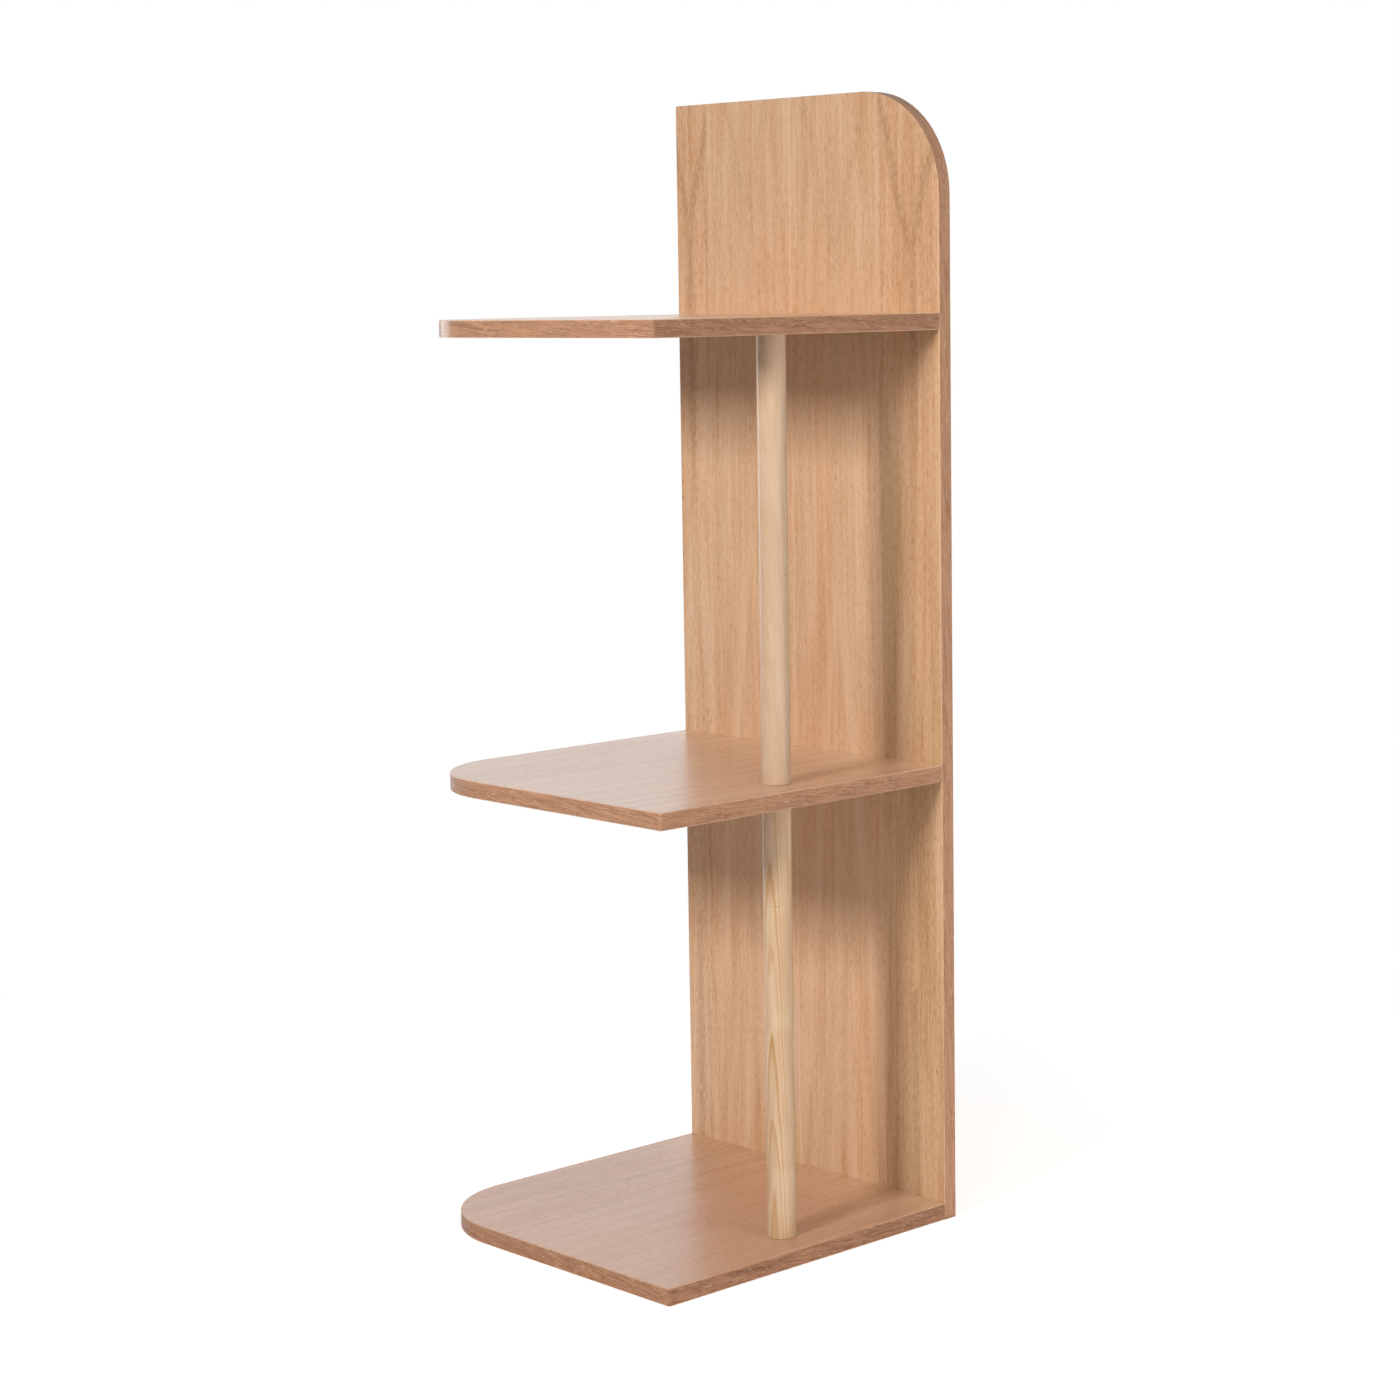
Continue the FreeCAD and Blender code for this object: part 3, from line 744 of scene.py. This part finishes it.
def underObject(tree, x, y):  # one on the floor under the bottom shelf and the panel
    bendX, bendY = stageLook["bendAt"]
    pastLeft = maths(tree, "MAXIMUM", minus(tree, bendX, x), 0.0)
    pastFront = maths(tree, "MAXIMUM", minus(tree, bendY, y), 0.0)
    inset = stageLook["inset"]
    right, rear = (cadBox[1][axis] * toMillimetres - inset for axis in (0, 1))
    under = times(tree, maths(tree, "LESS_THAN", x, right), maths(tree, "LESS_THAN", y, rear))
    inBend = maths(tree, "LESS_THAN", lengthOf(tree, pastLeft, pastFront), stageLook["bend"] - inset)
    return times(tree, under, inBend)


def floorMaterial():
    material = bpy.data.materials.new("paleFloor")
    material.use_nodes = True
    tree = material.node_tree
    tree.nodes.clear()
    seen, inView = seenDirectly(tree)
    place = placeInMillimetres(tree)
    x, y = place[:2]
    reach = lengthOf(tree, x, y)
    dim = times(tree, minus(tree, 1.0, inView), fade(tree, reach, *stageLook["farFade"]))
    matt = tree.nodes.new("ShaderNodeBsdfDiffuse")
    colour = mixColour(tree, dim, stageLook["nearColour"], stageLook["farColour"])
    tree.links.new(colour, matt.inputs["Color"])
    lifted = tree.nodes.new("ShaderNodeAddShader")
    tree.links.new(matt.outputs[0], lifted.inputs[0])
    tree.links.new(emission(tree, times(tree, inView, stageLook["floorLift"])), lifted.inputs[1])
    far = fade(tree, reach, *stageLook["whiteFade"])
    surface = mixShaders(tree, times(tree, far, seen), lifted.outputs[0], emission(tree, 1.0))
    # the floor is clear from below and lets light through under the object, so that the underside shows
    geometry = tree.nodes.new("ShaderNodeNewGeometry")
    fromBelow = times(tree, geometry.outputs["Backfacing"], inView)
    clear = tree.nodes.new("ShaderNodeBsdfTransparent")
    clearShare = maths(tree, "MAXIMUM", fromBelow, underObject(tree, x, y))
    surface = mixShaders(tree, clearShare, surface, clear.outputs[0])
    output = tree.nodes.new("ShaderNodeOutputMaterial")
    tree.links.new(surface, output.inputs["Surface"])
    return material


def addFloor():
    mesh = bpy.data.meshes.new("floor")
    floor = bpy.data.objects.new("floor", mesh)
    bpy.context.scene.collection.objects.link(floor)
    shape = bmesh.new()
    lowered = Matrix.Translation((0.0, 0.0, -stageLook["floorDrop"]))
    bmesh.ops.create_grid(shape, x_segments=1, y_segments=1, size=stageLook["floorHalf"], matrix=lowered)
    shape.to_mesh(mesh)
    shape.free()
    mesh.materials.append(floorMaterial())


def setWorld():
    world = bpy.data.worlds.new("whiteStudio")
    world.use_nodes = True
    tree = world.node_tree
    tree.nodes.clear()
    seen = seenDirectly(tree)[0]
    background = tree.nodes.new("ShaderNodeBackground")
    background.inputs["Color"].default_value = stageLook["domeColour"]
    dome = stageLook["domeStrength"]
    strength = maths(tree, "MULTIPLY_ADD", seen, 1.0 - dome, dome)
    tree.links.new(strength, background.inputs["Strength"])
    output = tree.nodes.new("ShaderNodeOutputWorld")
    tree.links.new(background.outputs[0], output.inputs["Surface"])
    bpy.context.scene.world = world


middlePoint = (0.0, 0.0, 0.6)
softboxes = {
    "keySoftbox": {"place": (0.53, -2.55, 1.57), "size": (0.56, 0.50), "watts": 66.0},
    "fillSoftbox": {"place": (1.60, -2.00, 1.50), "size": (0.80, 0.80), "watts": 4.5},
    "lowSoftbox": {"place": (0.20, -1.40, 0.15), "size": (1.20, 0.20), "watts": 0.8},
    "highSoftbox": {"place": (1.80, -0.60, 2.30), "size": (1.20, 1.20), "watts": 8.5},
    "sideSoftbox": {"place": (2.40, 0.50, 0.65), "size": (1.00, 1.00), "watts": 28.0},
    "rearSoftbox": {"place": (-0.10, 2.90, 1.20), "size": (0.90, 0.90), "watts": 40.0},
    "leftSoftbox": {"place": (-2.40, 0.60, 0.75), "size": (0.40, 1.50), "watts": 7.0},
    "underSoftbox": {"place": (0.50, -0.80, -2.20), "size": (1.50, 1.50), "watts": 40.0},
}
leftCard = {"place": (-2.40, -0.16, 0.98), "size": (1.07, 1.25), "watts": 10.0}  # seen only reflected


def addSoftbox(name, look):
    lamp = bpy.data.lights.new(name, "AREA")
    lamp.shape = "RECTANGLE"
    lamp.size, lamp.size_y = look["size"]
    lamp.energy = look["watts"]
    box = bpy.data.objects.new(name, lamp)
    box.location = look["place"]
    facing = Vector(middlePoint) - Vector(look["place"])
    box.rotation_euler = facing.to_track_quat("-Z", "Y").to_euler()
    box.visible_camera = False
    box.visible_glossy = False
    bpy.context.scene.collection.objects.link(box)
    return box


def addCard():
    card = addSoftbox("leftCard", leftCard)
    card.visible_glossy = True
    card.visible_diffuse = False
    edged = bpy.data.collections.new("edgesBesideCard")  # the shelf edges and posts alone reflect it
    for level in shelfTops:
        edged.objects.link(nodes[level + "_shelf_contour_lipping"])
    edged.objects.link(nodes["lower_post"])
    edged.objects.link(nodes["upper_post"])
    card.light_linking.receiver_collection = edged


addFloor()
setWorld()
for name, look in softboxes.items():
    addSoftbox(name, look)
addCard()
bpy.context.scene.view_settings.view_transform = "Standard"
print("floor, surround and lights set")


# camera at the photograph's own viewpoint

cameraLook = {
    "place": (2.3779, -2.1687, 0.9957),
    "azimuth": 47.227,
    "elevation": 6.591,
    "roll": -0.877,
    "frame": 1400.0,  # pixels along a side of the picture
    "focal": 3070.1,  # focal length in those pixels
    "axisPixel": (700.0, 644.0),  # where the optical axis meets the picture
    "sensor": 36.0,
}


def addCamera():
    azimuth = math.radians(cameraLook["azimuth"])
    elevation = math.radians(cameraLook["elevation"])
    roll = math.radians(cameraLook["roll"])
    level = math.cos(elevation)
    ahead = Vector((-math.sin(azimuth) * level, math.cos(azimuth) * level, -math.sin(elevation)))
    flatRight = ahead.cross(Vector((0.0, 0.0, 1.0))).normalized()
    flatUp = flatRight.cross(ahead)
    right = math.cos(roll) * flatRight + math.sin(roll) * flatUp
    up = math.cos(roll) * flatUp - math.sin(roll) * flatRight
    lens = bpy.data.cameras.new("photoCamera")
    lens.sensor_width = cameraLook["sensor"]
    lens.lens = cameraLook["focal"] / cameraLook["frame"] * cameraLook["sensor"]
    lens.shift_x = 0.5 - cameraLook["axisPixel"][0] / cameraLook["frame"]
    lens.shift_y = cameraLook["axisPixel"][1] / cameraLook["frame"] - 0.5
    camera = bpy.data.objects.new("photoCamera", lens)
    turn = Matrix((right, up, -ahead)).transposed().to_4x4()
    camera.matrix_world = Matrix.Translation(cameraLook["place"]) @ turn
    bpy.context.scene.collection.objects.link(camera)
    bpy.context.scene.camera = camera


addCamera()
print("camera placed")

bpy.context.view_layer.update()
